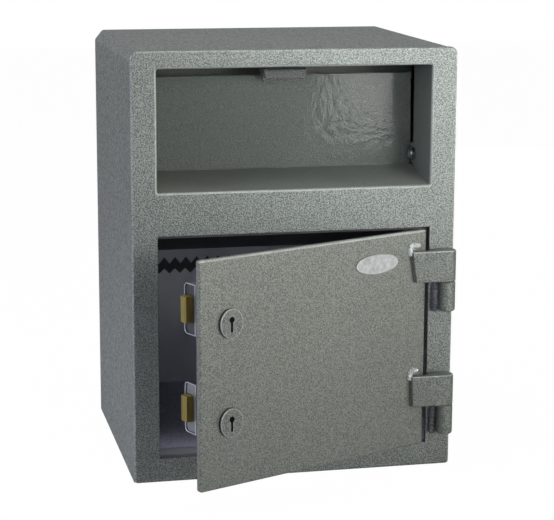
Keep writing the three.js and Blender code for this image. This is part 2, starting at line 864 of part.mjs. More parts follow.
// Bolt: a square block that leaves the case, a forked tail and the stump that the levers hold
function lockBolt(lock) {
  const low = lock.z - boltHeight / 2;
  const high = lock.z + boltHeight / 2;
  const plan = outline([
    [boltNose, boltFront],
    [boltBlockEnd, boltFront],
    [boltBlockEnd, boltBack],
    [boltNose + boltNoseChamfer, boltBack],
    [boltNose, boltBack - boltNoseChamfer],
  ]);
  const tailLow = lock.z - rotorDrop + rotorRadius + leverRotorGap;
  const tail = box(boltBlockEnd - cutOverrun, boltTailEnd, tailFront, boltBack, tailLow, high);
  const postHalf = leverPostRadius + boltSlotRunning;
  const postZ = lock.z + leverPivotRise;
  const fork = box(
    leverPivotX - postHalf,
    boltTailEnd + boltThrow + cutOverrun,
    tailFront - cutOverrun,
    boltBack + cutOverrun,
    postZ - postHalf,
    postZ + postHalf,
  );
  const stumpX = boltTailEnd - stumpFromTailEnd;
  const stump = rodY(stumpRadius, leverFront, (tailFront + boltBack) / 2, stumpX, postZ);
  return piece(`lock_bolt_${lock.name}`, join(prismZ(plan, low, high), cut(tail, fork), stump), 'brass');
}

// Lever pack: a stack of levers on the post, with one pocket for the bolt's stump
function leverPack(lock) {
  const postZ = lock.z + leverPivotRise;
  const low = lock.z - rotorDrop + rotorRadius + leverRotorGap;
  const high = lock.z + leverTop;
  const arm = box(leverPivotX - leverReach, leverPivotX, leverFront, leverBack, low, high);
  const eye = rodY(leverEyeRadius, leverFront, leverBack, leverPivotX, postZ);
  const boreRadius = leverPostRadius + pinRunning;
  const bore = rodY(boreRadius, leverFront - cutOverrun, leverBack + cutOverrun, leverPivotX, postZ);
  const pocketRight = leverPivotX - leverPocketInset;
  const pocket = box(
    pocketRight - leverPocketLength,
    pocketRight,
    leverFront - cutOverrun,
    leverBack + cutOverrun,
    low + leverPocketRim,
    high - leverPocketRim,
  );
  return piece(`lever_pack_${lock.name}`, cut(join(arm, eye), bore, pocket), 'brass');
}

// Key rotor: a round barrel with the key's slot in its front
function keyRotor(lock) {
  const front = caseFront;
  const back = boltBack;
  const barrel = rodY(rotorRadius, front, back, keyholeX, lock.z - rotorDrop, roundSteps);
  const body = cut(barrel, keyWay(lock, front, back - rotorEndWall - cutOverrun));
  return piece(`key_rotor_${lock.name}`, body, 'bareSteel');
}

const cheekOuter = openingHalf - cheekSideGap;
const cheekInner = cheekOuter - cheekThickness;
const rearPlateHalf = cheekInner - seatGap;
const flapBottom = recessFloorTop(recessBackY) - flapOverlap;
const flapTop = hopperOpeningTop - flapTopGap;
const flapFootY = recessBackY + flapStopGap;
const behindFlap = flapThickness / Math.cos(flapLean * degrees) + seatGap;

// Front face of the closed flap at a height
function flapFace(z) {
  return flapFootY + (z - flapBottom) * Math.tan(flapLean * degrees);
}

function onHopperCircle(radius, angle) {
  return [pivotY + radius * Math.cos(angle), pivotZ + radius * Math.sin(angle)];
}

// Flap: the flat face of the hopper, leaning back a little, narrower at its foot for the ears
function hopperFlap() {
  const height = (flapTop - flapBottom) / Math.cos(flapLean * degrees);
  const shoulder = height - flapCornerRadius;
  const corner = cheekOuter - flapCornerRadius;
  const earTop = pivotZ + cheekEarRadius + seatGap - flapBottom;
  const notchTop = earTop / Math.cos(flapLean * degrees) + flapThickness * Math.tan(flapLean * degrees);
  const notchX = cheekInner - seatGap;
  const shape = new THREE.Shape();
  shape.moveTo(-notchX, 0);
  shape.lineTo(notchX, 0);
  shape.lineTo(notchX, notchTop);
  shape.lineTo(cheekOuter, notchTop);
  shape.absarc(corner, shoulder, flapCornerRadius, 0, Math.PI / 2, false);
  shape.absarc(-corner, shoulder, flapCornerRadius, Math.PI / 2, Math.PI, false);
  shape.lineTo(-cheekOuter, notchTop);
  shape.lineTo(-notchX, notchTop);
  const geometry = extrude(shape, flapThickness);
  geometry.translate(0, 0, -flapThickness);
  geometry.rotateX(Math.PI / 2 - flapLean * degrees);
  geometry.translate(0, flapFootY, flapBottom);
  return piece('hopper_flap', toSolid(geometry), 'hammerPaint');
}

// Cheek: closes one end of the hopper behind the flap, with an ear in front for the pivot
function hopperCheek(side) {
  const high = flapTop - flapCornerRadius;
  const lowBack = flapFace(flapBottom) + behindFlap;
  const highBack = flapFace(high) + behindFlap;
  const top = Math.atan2(high - pivotZ, highBack - pivotY);
  const reach = Math.hypot(high - pivotZ, highBack - pivotY);
  const end = -rearPlateDip * degrees;
  const points = [[lowBack, flapBottom]];
  for (let i = 0; i <= arcSteps; i += 1) {
    const share = i / arcSteps;
    const radius = cheekRadius + (Math.min(reach, cheekRadius) - cheekRadius) * share;
    points.push(onHopperCircle(radius, end + (top - end) * share));
  }
  const [x0, x1] = span(side, cheekInner, cheekOuter);
  const plate = prismX(outline(points), x0, x1);
  const ear = rodX(cheekEarRadius, x0, x1, pivotY, pivotZ);
  const neckBack = lowBack + cheekThickness;
  const neck = box(x0, x1, pivotY, neckBack, pivotZ - cheekEarRadius, pivotZ + cheekEarRadius);
  const hole = rodX(hopperPinRadius + seatGap, x0 - cutOverrun, x1 + cutOverrun, pivotY, pivotZ);
  return piece(`hopper_cheek_${sideName(side)}`, cut(join(plate, ear, neck), hole), 'hammerPaint');
}

// Rear plate: closes the way to the store while the hopper is tipped forward
function hopperRearPlate() {
  const front = flapFace(flapBottom + rearPlateSheet) + behindFlap;
  const [backEnd, backLow] = onHopperCircle(cheekRadius, -rearPlateDip * degrees);
  const slope = (flapBottom - backLow) / (backEnd - flapFace(flapBottom) - behindFlap);
  const frontLow = backLow + slope * (backEnd - front);
  const section = outline([
    [front, frontLow],
    [backEnd, backLow],
    [backEnd, backLow + rearPlateSheet],
    [front, frontLow + rearPlateSheet],
  ]);
  return piece('hopper_rear_plate', prismX(section, -rearPlateHalf, rearPlateHalf), 'innerPaint');
}

// Pull tab: a foot on the flap, a top leg to the front and a lip that hangs down
function pullTab() {
  const top = flapTop + tabRise;
  const footLow = top - tabFootHeight;
  const lipFront = flapFace(top) - seatGap - tabSheet - tabForward;
  const lipLow = top - tabLipHeight;
  const under = top - tabSheet;
  const section = outline([
    [flapFace(footLow) - seatGap, footLow],
    [flapFace(top) - seatGap, top],
    [lipFront, top],
    [lipFront, lipLow],
    [lipFront + tabSheet, lipLow],
    [lipFront + tabSheet, under],
    [flapFace(under) - seatGap - tabSheet, under],
    [flapFace(footLow) - seatGap - tabSheet, footLow],
  ]);
  const half = tabTopWidth / 2;
  const taper = (tabTopWidth - tabBottomWidth) / 2 / tabLipHeight;
  const lowHalf = half - taper * tabFootHeight;
  const face = outline([[-lowHalf, footLow], [lowHalf, footLow], [half, top], [-half, top]]);
  const depth = [lipFront - cutOverrun, flapFace(top) + cutOverrun];
  const tab = prismX(section, -half - cutOverrun, half + cutOverrun).intersect(prismY(face, ...depth));
  return piece('pull_tab', tab, 'hammerPaint');
}

function hopperPin(side) {
  const headFar = cheekInner - seatGap;
  const headNear = headFar - hopperPinHeadHeight;
  const end = sidePlateOuter + seatGap + bushFlangeThickness + hopperPinBeyond;
  const head = rodX(hopperPinHeadRadius, ...span(side, headNear, headFar), pivotY, pivotZ);
  const shank = rodX(hopperPinRadius, ...span(side, (headNear + headFar) / 2, end), pivotY, pivotZ);
  return piece(`hopper_pin_${sideName(side)}`, join(head, shank), 'zinc');
}

// The hopper at rest, closed
function hopper() {
  const group = new THREE.Group();
  group.add(hopperFlap(), hopperCheek(-1), hopperCheek(1), hopperRearPlate(), pullTab());
  group.add(hopperPin(-1), hopperPin(1));
  return group;
}

// The door with all it carries is made closed, then turned open about the hinge pins
function door() {
  const closed = new THREE.Group();
  closed.position.set(-pinX, -pinY, 0);
  closed.add(doorPlate(), badgePlate());
  straps.forEach((strap) => closed.add(hingeStrap(strap)));
  locks.forEach((lock) => {
    closed.add(escutcheon(lock), lockBracket(lock), lockCap(lock), lockCase(lock));
    closed.add(lockBolt(lock), leverPack(lock), keyRotor(lock));
    screwPlaces.forEach((place, i) => closed.add(lockScrew(lock, place, i + 1)));
  });
  const turned = new THREE.Group();
  turned.add(closed);
  turned.position.set(pinX, pinY, 0);
  turned.rotation.z = doorOpenAngle * degrees;
  return turned;
}

const dropSafe = new THREE.Group();
dropSafe.add(bodyShell(), frontPlate(), backPanel(), basePlate(), floorTray(), floorMat());
dropSafe.add(doorStop(), boltKeeper(), recessFloor(), chuteBaffle(), rearBaffle(), roofBaffle());
[-1, 1].forEach((side) => dropSafe.add(hopperSide(side), hopperBush(side)));
straps.forEach((strap) => dropSafe.add(hingeBarrel(strap), hingePin(strap)));
dropSafe.add(hopper(), door());

export default dropSafe;
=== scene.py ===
import math

import bpy
import numpy as np
from mathutils import Matrix, Vector
from mathutils.geometry import tessellate_polygon


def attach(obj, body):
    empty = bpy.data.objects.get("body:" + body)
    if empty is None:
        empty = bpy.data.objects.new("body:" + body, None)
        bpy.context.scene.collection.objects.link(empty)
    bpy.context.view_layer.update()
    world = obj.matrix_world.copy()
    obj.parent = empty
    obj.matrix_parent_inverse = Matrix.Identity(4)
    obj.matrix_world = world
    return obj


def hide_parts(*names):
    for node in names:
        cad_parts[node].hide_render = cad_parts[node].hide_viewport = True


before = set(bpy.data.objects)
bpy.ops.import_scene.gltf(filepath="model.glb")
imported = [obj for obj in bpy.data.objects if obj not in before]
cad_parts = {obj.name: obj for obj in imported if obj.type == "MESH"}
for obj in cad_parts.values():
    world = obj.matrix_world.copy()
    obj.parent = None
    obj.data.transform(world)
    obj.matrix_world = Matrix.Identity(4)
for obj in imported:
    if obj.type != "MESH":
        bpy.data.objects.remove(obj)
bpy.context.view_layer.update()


# Camera, backdrop, floor and light.
# The safe stands on a pale floor in front of a white backdrop, seen a little from its left
# and from above. Softboxes light it from the front, both sides, above and behind, in a dim room.

mm = 0.001

eye_x = -492.69 * mm
eye_y = -2272.01 * mm
eye_z = 719.03 * mm
look = Vector((0.21318, 0.95584, -0.20229)).normalized()
up = Vector((0.04004, 0.19832, 0.97932)).normalized()
side = look.cross(up).normalized()
up = side.cross(look).normalized()

camera_data = bpy.data.cameras.new("camera")
camera_data.sensor_width = 36
camera_data.lens = 117.236
camera_data.clip_end = 50
camera = bpy.data.objects.new("camera", camera_data)
bpy.context.scene.collection.objects.link(camera)
camera.matrix_world = Matrix((
    (side.x, up.x, -look.x, eye_x),
    (side.y, up.y, -look.y, eye_y),
    (side.z, up.z, -look.z, eye_z),
    (0, 0, 0, 1),
))
bpy.context.scene.camera = camera
bpy.context.scene.view_settings.view_transform = "Standard"


def feed(tree, node, sockets):
    """Fills the named sockets of a node. A number or a colour is set on the socket. Another
    node's output, or a node that stands for its first output, is wired to it."""
    for name, value in sockets.items():
        if isinstance(value, bpy.types.Node):
            value = value.outputs[0]
        if isinstance(value, bpy.types.NodeSocket):
            tree.links.new(value, node.inputs[name])
        else:
            node.inputs[name].default_value = value


def add_node(tree, kind, sockets=(), **settings):
    """A new shader node with its sockets filled and its own settings, such as an operation."""
    node = tree.nodes.new("ShaderNode" + kind)
    for name, value in settings.items():
        setattr(node, name, value)
    feed(tree, node, dict(sockets))
    return node


def mirrored_rays(tree, rays):
    """One for a ray that gloss or glass sends on, and nothing for any other ray."""
    paths = {0: rays.outputs["Is Glossy Ray"], 1: rays.outputs["Is Transmission Ray"]}
    return add_node(tree, "Math", paths, operation="MAXIMUM")


world = bpy.data.worlds.new("studio")
bpy.context.scene.world = world
world.use_nodes = True
sky = world.node_tree
sky.nodes.clear()
direction = add_node(sky, "TexCoord")
axes_of = add_node(sky, "SeparateXYZ", {0: direction.outputs["Generated"]})
backward = add_node(sky, "MapRange", {
    "Value": axes_of.outputs["Y"], "From Min": -0.1, "From Max": 0.5, "To Max": 0.36,
})
room = add_node(sky, "Background", {"Color": (0.9, 0.94, 1.0, 1), "Strength": 0.05})
backdrop = add_node(sky, "Background", {"Color": (0.85, 0.9, 1.0, 1), "Strength": 0.2})
round_about = add_node(sky, "MixShader", {"Fac": backward, 1: room, 2: backdrop})
white_wall = add_node(sky, "Background", {"Color": (1, 1, 1, 1), "Strength": 1.0})
rays = add_node(sky, "LightPath")
mirrored_wall = add_node(sky, "Math", {0: mirrored_rays(sky, rays), 1: backward}, operation="MULTIPLY")
shown = add_node(sky, "Math", {0: rays.outputs["Is Camera Ray"], 1: mirrored_wall}, operation="MAXIMUM")
seen_or_room = add_node(sky, "MixShader", {"Fac": shown, 1: round_about, 2: white_wall})
add_node(sky, "OutputWorld", {"Surface": seen_or_room})


def softbox(name, place, aim, size, power, colour=(1, 1, 1), spread=180):
    """A flat lamp at a place, turned so that it faces the point that it is aimed at. A grid over
    it narrows the spread of its light, in degrees."""
    lamp = bpy.data.lights.new(name, "AREA")
    lamp.shape = "RECTANGLE"
    lamp.size, lamp.size_y = size
    lamp.energy = power
    lamp.color = colour
    lamp.spread = math.radians(spread)
    box = bpy.data.objects.new(name, lamp)
    box.location = place
    box.rotation_euler = (Vector(aim) - Vector(place)).to_track_quat("-Z", "Y").to_euler()
    bpy.context.scene.collection.objects.link(box)


daylight = (0.93, 0.96, 1.0)
softbox("key_light", (1.05, -2.2, 0.88), (0.31, -0.17, 0.76), (0.9, 1.0), power=4.4, spread=60)
softbox("left_light", (-2.4, -0.5, 1.0), (-0.1, 0, 0.25), (1.4, 1.6), power=32.5,
        colour=(0.79, 0.83, 1.0))
softbox("front_light", (-0.6, -2.5, 0.75), (-0.15, -0.17, 0.36), (0.6, 0.6), power=0.145,
        colour=(0.8, 0.83, 1.0), spread=30)
softbox("top_light", (-0.2, -0.4, 2.3), (0.0, -0.1, 0.4), (1.4, 0.7), power=18, colour=daylight)
softbox("fill_light", (-0.3, -2.4, 0.8), (0.17, -0.15, 0.46), (0.3, 0.3), power=0.19,
        colour=(0.85, 0.9, 1.0), spread=16)
softbox("right_light", (1.75, -1.5, 0.36), (0, -0.17, 0.5), (1.1, 0.7), power=0.88, spread=50)
softbox("back_light", (1.7, 2.2, 0.27), (0, 0.1, 0.25), (1.0, 0.5), power=14, colour=daylight)

floor_half = 6
floor_mesh = bpy.data.meshes.new("studio_floor")
floor_mesh.from_pydata(
    [(-floor_half, -floor_half, 0), (floor_half, -floor_half, 0), (floor_half, floor_half, 0),
     (-floor_half, floor_half, 0)],
    [], [(0, 1, 2, 3)],
)
studio_floor = bpy.data.objects.new("studio_floor", floor_mesh)
bpy.context.scene.collection.objects.link(studio_floor)

floor_paint = bpy.data.materials.new("studio_floor")
floor_paint.use_nodes = True
ground = floor_paint.node_tree
pale_board = ground.nodes["Principled BSDF"]
feed(ground, pale_board, {"Base Color": (0.6, 0.6, 0.61, 1), "Roughness": 0.9})
floor_glow = add_node(ground, "Emission", {"Strength": 1.02})
floor_rays = add_node(ground, "LightPath")
floor_seen = add_node(ground, "Math", {
    0: mirrored_rays(ground, floor_rays), 1: 0.2, 2: floor_rays.outputs["Is Camera Ray"],
}, operation="MULTIPLY_ADD", use_clamp=True)
floor_share = add_node(ground, "Math", {0: floor_seen, 1: 0.965}, operation="MULTIPLY")
floor_mix = add_node(ground, "MixShader", {"Fac": floor_share, 1: pale_board, 2: floor_glow})
feed(ground, ground.nodes["Material Output"], {"Surface": floor_mix})
floor_mesh.materials.append(floor_paint)


# Body case.
# A steel sheet bent into an upturned U with slanted top corners, a thick front plate with the
# hopper's and the door's openings cut through it, and a back panel, welded, ground flush and
# sprayed with hammer paint.


def rounded(corners, radii, steps=7):
    """A polygon with its corners rounded. Each corner's arc touches both of its sides: its centre
    lies on the bisector, at the radius over the sine of half the angle between the sides, and its
    points sweep evenly from one touching point to the other. A corner with no radius stays sharp."""
    corners = np.asarray(corners, float)
    radii = np.asarray(radii, float)
    back = np.roll(corners, 1, axis=0) - corners
    ahead = np.roll(corners, -1, axis=0) - corners
    back /= np.linalg.norm(back, axis=1)[:, None]
    ahead /= np.linalg.norm(ahead, axis=1)[:, None]
    half = np.arccos(np.clip(np.sum(back * ahead, axis=1), -1, 1)) / 2
    bisector = (back + ahead) / np.linalg.norm(back + ahead, axis=1)[:, None]
    centre = corners + bisector * (radii / np.sin(half))[:, None]
    reach = (radii / np.tan(half))[:, None]
    first = corners + back * reach - centre
    last = corners + ahead * reach - centre
    sweep = (math.pi - 2 * half)[:, None, None]
    share = np.linspace(0, 1, steps)[None, :, None]
    from_first = np.sin((1 - share) * sweep) * first[:, None, :]
    from_last = np.sin(share * sweep) * last[:, None, :]
    points = centre[:, None, :] + (from_first + from_last) / np.sin(sweep)
    kept = (radii[:, None] > 0) | (np.arange(steps)[None, :] == 0)
    return points[kept]


def left_of(steps):
    """Unit vectors a quarter turn to the left of each step."""
    return np.column_stack([-steps[:, 1], steps[:, 0]]) / np.linalg.norm(steps, axis=1)[:, None]


def inset(loop, distance):
    """Each point moved to the left of the loop's direction along its mitre: the sum of the unit
    normals of its two sides, divided by one plus their dot product, times the distance."""
    before = left_of(loop - np.roll(loop, 1, axis=0))
    after = left_of(np.roll(loop, -1, axis=0) - loop)
    mitre = (before + after) / (1 + np.sum(before * after, axis=1))[:, None]
    return loop + distance * mitre


def ring_quads(rows, count, closed=False):
    """Faces between rings of points that follow each other: each point, the next one round its
    ring, and the same two of the next ring. A closed row of rings joins the last to the first."""
    ring = np.arange(rows if closed else rows - 1)[:, None]
    here = np.arange(count)[None, :]
    there = (here + 1) % count
    row = ring * count
    next_row = (ring + 1) % rows * count
    quads = [row + here, row + there, next_row + there, next_row + here]
    return np.stack(quads, axis=-1).reshape(-1, 4)


def layered(loops, profiles, axes="xzy"):
    """A closed plate built up in layers. The first loop is its outline, anticlockwise, and the
    others are holes, clockwise. Each loop has a profile, a row of pairs of inset and depth: at
    each pair the loop is moved in by the inset and laid at the depth, and quads join it to the
    layer before. The first and the last layers are closed off flat. The axes say which way the
    loop's two directions and the depth point, and xzy mirrors the shape, so there its faces are
    turned round. Returns points in millimetres and faces."""
    points = []
    faces = []
    near_cap = []
    far_cap = []
    start = 0
    for loop, profile in zip(loops, profiles):
        count = len(loop)
        rows = len(profile)
        rings = [np.column_stack([inset(loop, away), np.full(count, depth)]) for away, depth in profile]
        points.append(np.vstack(rings))
        faces.extend((start + ring_quads(rows, count)).tolist())
        near_cap.append(start + np.arange(count))
        far_cap.append(start + (rows - 1) * count + np.arange(count))
        start += rows * count
    points = np.vstack(points)
    for cap, facing in ((near_cap, -1), (far_cap, 1)):
        flat = [[Vector((*points[i][:2], 0)) for i in ring] for ring in cap]
        corners = np.concatenate(cap)[np.array(tessellate_polygon(flat))]
        a, b, c = points[corners.T, :2]
        area = (b - a)[:, 0] * (c - a)[:, 1] - (b - a)[:, 1] * (c - a)[:, 0]
        upside_down = area * facing < 0
        corners[upside_down] = corners[upside_down][:, [0, 2, 1]]
        faces.extend(corners[np.abs(area) > 1e-9].tolist())
    column = {axis: points[:, n] for n, axis in enumerate(axes)}
    placed = np.column_stack([column["x"], column["y"], column["z"]])
    if axes == "xzy":
        faces = [face[::-1] for face in faces]
    return placed, faces


def edge_profile(near, far, near_edge, far_edge, steps=5):
    """The profile of a plate's edge: a quarter circle at its near face, a straight wall and a
    quarter circle at its far face. No radius leaves the edge sharp."""
    turn = np.radians(np.linspace(0, 90, steps))
    near_round = [(near_edge * (1 - math.sin(a)), near + near_edge * (1 - math.cos(a))) for a in turn]
    far_round = [(far_edge * (1 - math.sin(a)), far - far_edge * (1 - math.cos(a))) for a in turn[::-1]]
    return (near_round if near_edge else [(0, near)]) + (far_round if far_edge else [(0, far)])


def together(*shapes):
    """Several closed shapes as one mesh: their points stacked and their faces counted on."""
    points = []
    faces = []
    start = 0
    for shape_points, shape_faces in shapes:
        points.append(shape_points)
        faces.extend([i + start for i in face] for face in shape_faces)
        start += len(shape_points)
    return np.vstack(points), faces


def middles(shape):
    """The middle of each face: the mean of its corners, summed over runs of the corner list."""
    points, faces = shape
    sizes = np.array([len(face) for face in faces])
    corners = points[np.concatenate(faces)]
    return np.add.reduceat(corners, np.cumsum(sizes) - sizes, axis=0) / sizes[:, None]


def make_piece(name, node, shape, finish, body, also=()):
    """A shape in millimetres as a named piece with smooth rounded edges and level flats, which
    stands for a node. Each further pair holds another finish and the marks of its faces."""
    points, faces = shape
    mesh = bpy.data.meshes.new(name)
    mesh.from_pydata((points * mm).tolist(), [], faces)
    mesh.shade_smooth()
    mesh.set_sharp_from_angle(angle=math.radians(38))
    piece = bpy.data.objects.new(name, mesh)
    bpy.context.scene.collection.objects.link(piece)
    mesh.materials.append(finish)
    painted = np.zeros(len(faces), np.int32)
    for number, (other, marked) in enumerate(also, 1):
        mesh.materials.append(other)
        painted[marked] = number
    mesh.polygons.foreach_set("material_index", painted)
    level = piece.modifiers.new("level_flats", "WEIGHTED_NORMAL")
    level.keep_sharp = True
    level.weight = 80
    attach(piece, body)
    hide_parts(node)


def dress(finish, *nodes):
    """Puts a finish on nodes whose own shape is right."""
    for node in nodes:
        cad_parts[node].material_slots[0].material = finish


def new_finish(name):
    """An empty node material with its shader and its pattern's coordinates, read on the object."""
    finish = bpy.data.materials.new(name)
    finish.use_nodes = True
    tree = finish.node_tree
    place = add_node(tree, "TexCoord").outputs["Object"]
    return finish, tree, tree.nodes["Principled BSDF"], place


def shaded(tree, pattern, colour, low, dark, high, pale):
    """A colour that follows a pattern. Up to the pattern's low value it is the colour times dark,
    from its high value on it is the colour times pale, and it changes evenly in between."""
    ramp = add_node(tree, "ValToRGB", {"Fac": pattern})
    first, last = ramp.color_ramp.elements
    first.position = low
    first.color = (*(part * dark for part in colour), 1)
    last.position = high
    last.color = (*(part * pale for part in colour), 1)
    return ramp


def hammer_paint(name, colour, speckle, relief, roughness=0.42, metallic=0.45, coat=0.0,
                 coat_roughness=0.2, waves=0.0, grain=700):
    """Hammer paint: a lacquer with metal flakes that draws together into dark specks, one to
    three millimetres across, between paler dimples. One noise drives the shade, the relief and
    the gloss, and a slow one lets the shade drift. Long waves lie in its top where it ran."""
    finish, tree, shader, place = new_finish(name)
    specks = add_node(tree, "TexNoise", {"Vector": place, "Scale": grain, "Detail": 1.0})
    shade = shaded(tree, specks, colour, 0.36, 1 - speckle, 0.64, 1 + speckle)
    cloud = add_node(tree, "TexNoise", {"Vector": place, "Scale": 9, "Detail": 2})
    drift = add_node(tree, "MapRange", {"Value": cloud, "To Min": 0.93, "To Max": 1.07})
    gloss = add_node(tree, "MapRange", {
        "Value": specks, "From Min": 0.3, "From Max": 0.7,
        "To Min": roughness + 0.05, "To Max": roughness - 0.05,
    })
    feed(tree, shader, {
        "Base Color": add_node(tree, "VectorMath", {0: shade, "Scale": drift}, operation="SCALE"),
        "Roughness": gloss,
        "Metallic": metallic,
        "Coat Weight": coat,
        "Coat Roughness": coat_roughness,
        "Normal": add_node(tree, "Bump", {"Height": specks, "Strength": relief, "Distance": 1 * mm}),
    })
    if waves:
        swell = add_node(tree, "TexNoise", {"Vector": place, "Scale": 100, "Detail": 1.5})
        rolling = add_node(tree, "Bump", {"Height": swell, "Strength": waves, "Distance": 3 * mm})
        feed(tree, shader, {"Coat Normal": rolling})
    return finish


def inner_paint(name, colour, roughness, underside_shade=1.0):
    """Thin satin paint: a slow cloud of a few centimetres varies its shade, a fine one its relief.
    What faces down has that share of the colour, as painted shade on its underside."""
    finish, tree, shader, place = new_finish(name)
    cloud = add_node(tree, "TexNoise", {"Vector": place, "Scale": 14, "Detail": 4})
    shade = shaded(tree, cloud, colour, 0.3, 0.85, 0.7, 1.12)
    if underside_shade < 1:
        upward = add_node(tree, "SeparateXYZ", {0: add_node(tree, "TexCoord").outputs["Normal"]})
        shade_below = add_node(tree, "MapRange", {
            "Value": upward.outputs["Z"], "From Min": -0.6, "From Max": -0.2, "To Min": underside_shade,
        })
        shade = add_node(tree, "VectorMath", {0: shade, "Scale": shade_below}, operation="SCALE")
    grain = add_node(tree, "TexNoise", {"Vector": place, "Scale": 420})
    feed(tree, shader, {
        "Base Color": shade,
        "Roughness": roughness,
        "Normal": add_node(tree, "Bump", {"Height": grain, "Strength": 0.3, "Distance": 0.3 * mm}),
    })
    return finish


paint_colour = (0.21, 0.228, 0.205)
body_paint = hammer_paint("hammer_paint", paint_colour, speckle=0.5, relief=0.5, metallic=0.5, grain=640)
case_paint = hammer_paint("case_hammer_paint", paint_colour, speckle=0.45, relief=0.6, metallic=0.5,
                          grain=380)
# Paler, glossier copies of the paint, laid on edges and rims as painted highlights.
edge_highlight_paint = hammer_paint("edge_highlight_hammer_paint", (0.3, 0.32, 0.295), speckle=0.4, relief=0.4,
                          roughness=0.32, metallic=0.5, coat=0.3, coat_roughness=0.15, grain=640)
rim_highlight_paint = hammer_paint("rim_highlight_hammer_paint", (0.42, 0.445, 0.4), speckle=0.2, relief=0.3,
                         roughness=0.36, metallic=0.4, coat=0.2, coat_roughness=0.15)
# A near-black paint laid as painted shade: on the sides of the door's opening, the stop over the door, the
# back panel's inner face, the keyholes, and the side walls of the raised plates.
dark_shade = inner_paint("dark_shade_paint", (0.05, 0.05, 0.052), roughness=0.6)

half_width = 201.5
body_top = 530
front_face = -168.5
front_back = -163.2
outer_round = 2.2
half_opening = 170
store_low = 30
store_top = 308
store_round = 0.5
recess_low = 360.5
recess_top = 508.5
recess_round = 3.0
nearby = 4


def opening(low, top, corner, steps):
    """Clockwise outline of an opening in the front plate, with its corners rounded."""
    sides = [(-half_opening, low), (-half_opening, top), (half_opening, top), (half_opening, low)]
    return rounded(sides, [corner] * 4, steps)


front_outline = rounded(
    [(-half_width, 0), (half_width, 0), (half_width, body_top), (-half_width, body_top)],
    [4, 4, 10, 10], 11,
)
front = layered(
    [front_outline, opening(store_low, store_top, 1, 4), opening(recess_low, recess_top, 2, 5)],
    [edge_profile(front_face, front_back, outer_round, 0),
     edge_profile(front_face, front_back, store_round, 0),
     edge_profile(front_face, front_back, recess_round, 0, 8)],
)

# The outer edge and the rim round the recess carry paler, glossier copies of the paint as
# painted highlights, and the sides of the door's opening a near-black paint as painted shade.
front_x, front_y, front_z = middles(front).T
from_middle = np.abs(front_x)
off_flats = (front_y > front_face + 0.05) & (front_y < front_back - 0.8)
by_recess = (front_z > recess_low - nearby) & (front_z < recess_top + nearby)
hopper_rim = off_flats & by_recess & (from_middle < half_opening + nearby)
door_sides = off_flats & (np.abs(from_middle - half_opening) < 0.8) & (front_z < store_top + nearby)
round_outside = (from_middle > half_opening + nearby) | (front_z > recess_top + nearby)
outer_edge = off_flats & round_outside & (front_y < front_face + outer_round + 0.1)
make_piece("front_plate_painted", "front_plate", front, body_paint, "body",
           also=[(edge_highlight_paint, outer_edge), (rim_highlight_paint, hopper_rim), (dark_shade, door_sides)])

sheet = 3
inner_half = half_width - sheet
slant_low = 517.5
slant_in = 191.5
inner_slant_low = 516.4
inner_slant_in = 190.1
back_inner = 165.2
back_face = 168.5

outside = [(half_width, 0), (half_width, slant_low), (slant_in, body_top), (-slant_in, body_top),
           (-half_width, slant_low), (-half_width, 0)]
wrap_outline = rounded(
    [(inner_half, 0), *outside, (-inner_half, 0), (-inner_half, inner_slant_low),
     (-inner_slant_in, body_top - sheet), (inner_slant_in, body_top - sheet),
     (inner_half, inner_slant_low)],
    [0, 0, 6, 6, 6, 6, 0, 0, 3, 3, 3, 3],
)
wrap = layered([wrap_outline], [edge_profile(front_back, back_inner, 0, 0)])
make_piece("body_wrap_painted", "body_shell", wrap, case_paint, "body")

back_outline = rounded([outside[-1], *outside[:-1]], [0, 0, 6, 6, 6, 6])
back = layered([back_outline], [edge_profile(back_inner, back_face, 0, 1.2)])
# The back panel's inner face is painted near-black as painted shade.
make_piece("back_panel_painted", "back_panel", back, case_paint, "body",
           also=[(dark_shade, middles(back)[:, 1] < back_inner + 0.1)])


# Recess.
# The sloping floor and the two side plates in front of the flap, bent from sheet, welded behind
# the front plate and sprayed in the same paint, which lies smoother in here. The floor's copy of
# it is paler than the plates', as painted light on the upturned floor.

recess_floor_lit_paint = hammer_paint("recess_floor_lit_hammer_paint", (0.27, 0.285, 0.245), speckle=0.1, relief=0.2,
                            metallic=0.3, coat=0.1, coat_roughness=0.15)
side_paint = hammer_paint("recess_side_paint", (0.2, 0.212, 0.185), speckle=0.1, relief=0.2,
                          metallic=0.3, coat=0.1, coat_roughness=0.15)
# The floor's paler copy of the paint is painted light.
dress(recess_floor_lit_paint, "recess_floor")
dress(side_paint, "hopper_side_left", "hopper_side_right")


# Inside sheets.
# The floor tray, the keeper for the bolts and the saw-toothed baffles, sprayed in plain grey, the
# stop over the door in near-black painted shade, and the felt mat on the floor. The rear baffle's
# grey and the felt's colour are paler, as painted light, and the chute's underside is darker, as
# painted shade.

inside_grey_colour = (0.3, 0.3, 0.33)
dress(inner_paint("inside_grey_paint", inside_grey_colour, roughness=0.5),
      "base_plate", "bolt_keeper", "hopper_rear_plate")
dress(inner_paint("tray_grey_paint", (0.4, 0.41, 0.43), roughness=0.5), "floor_tray")
# The rear baffle's grey is paler than the other inside sheets', as painted light.
dress(inner_paint("rear_lit_grey_paint", (0.7, 0.7, 0.74), roughness=0.5), "rear_baffle")
# The chute's downward faces are darkened as painted shade.
dress(inner_paint("chute_grey_shaded_paint", inside_grey_colour, roughness=0.5, underside_shade=0.12),
      "chute_baffle")
# The stop over the door is painted near-black as painted shade.
dress(dark_shade, "top_door_stop")


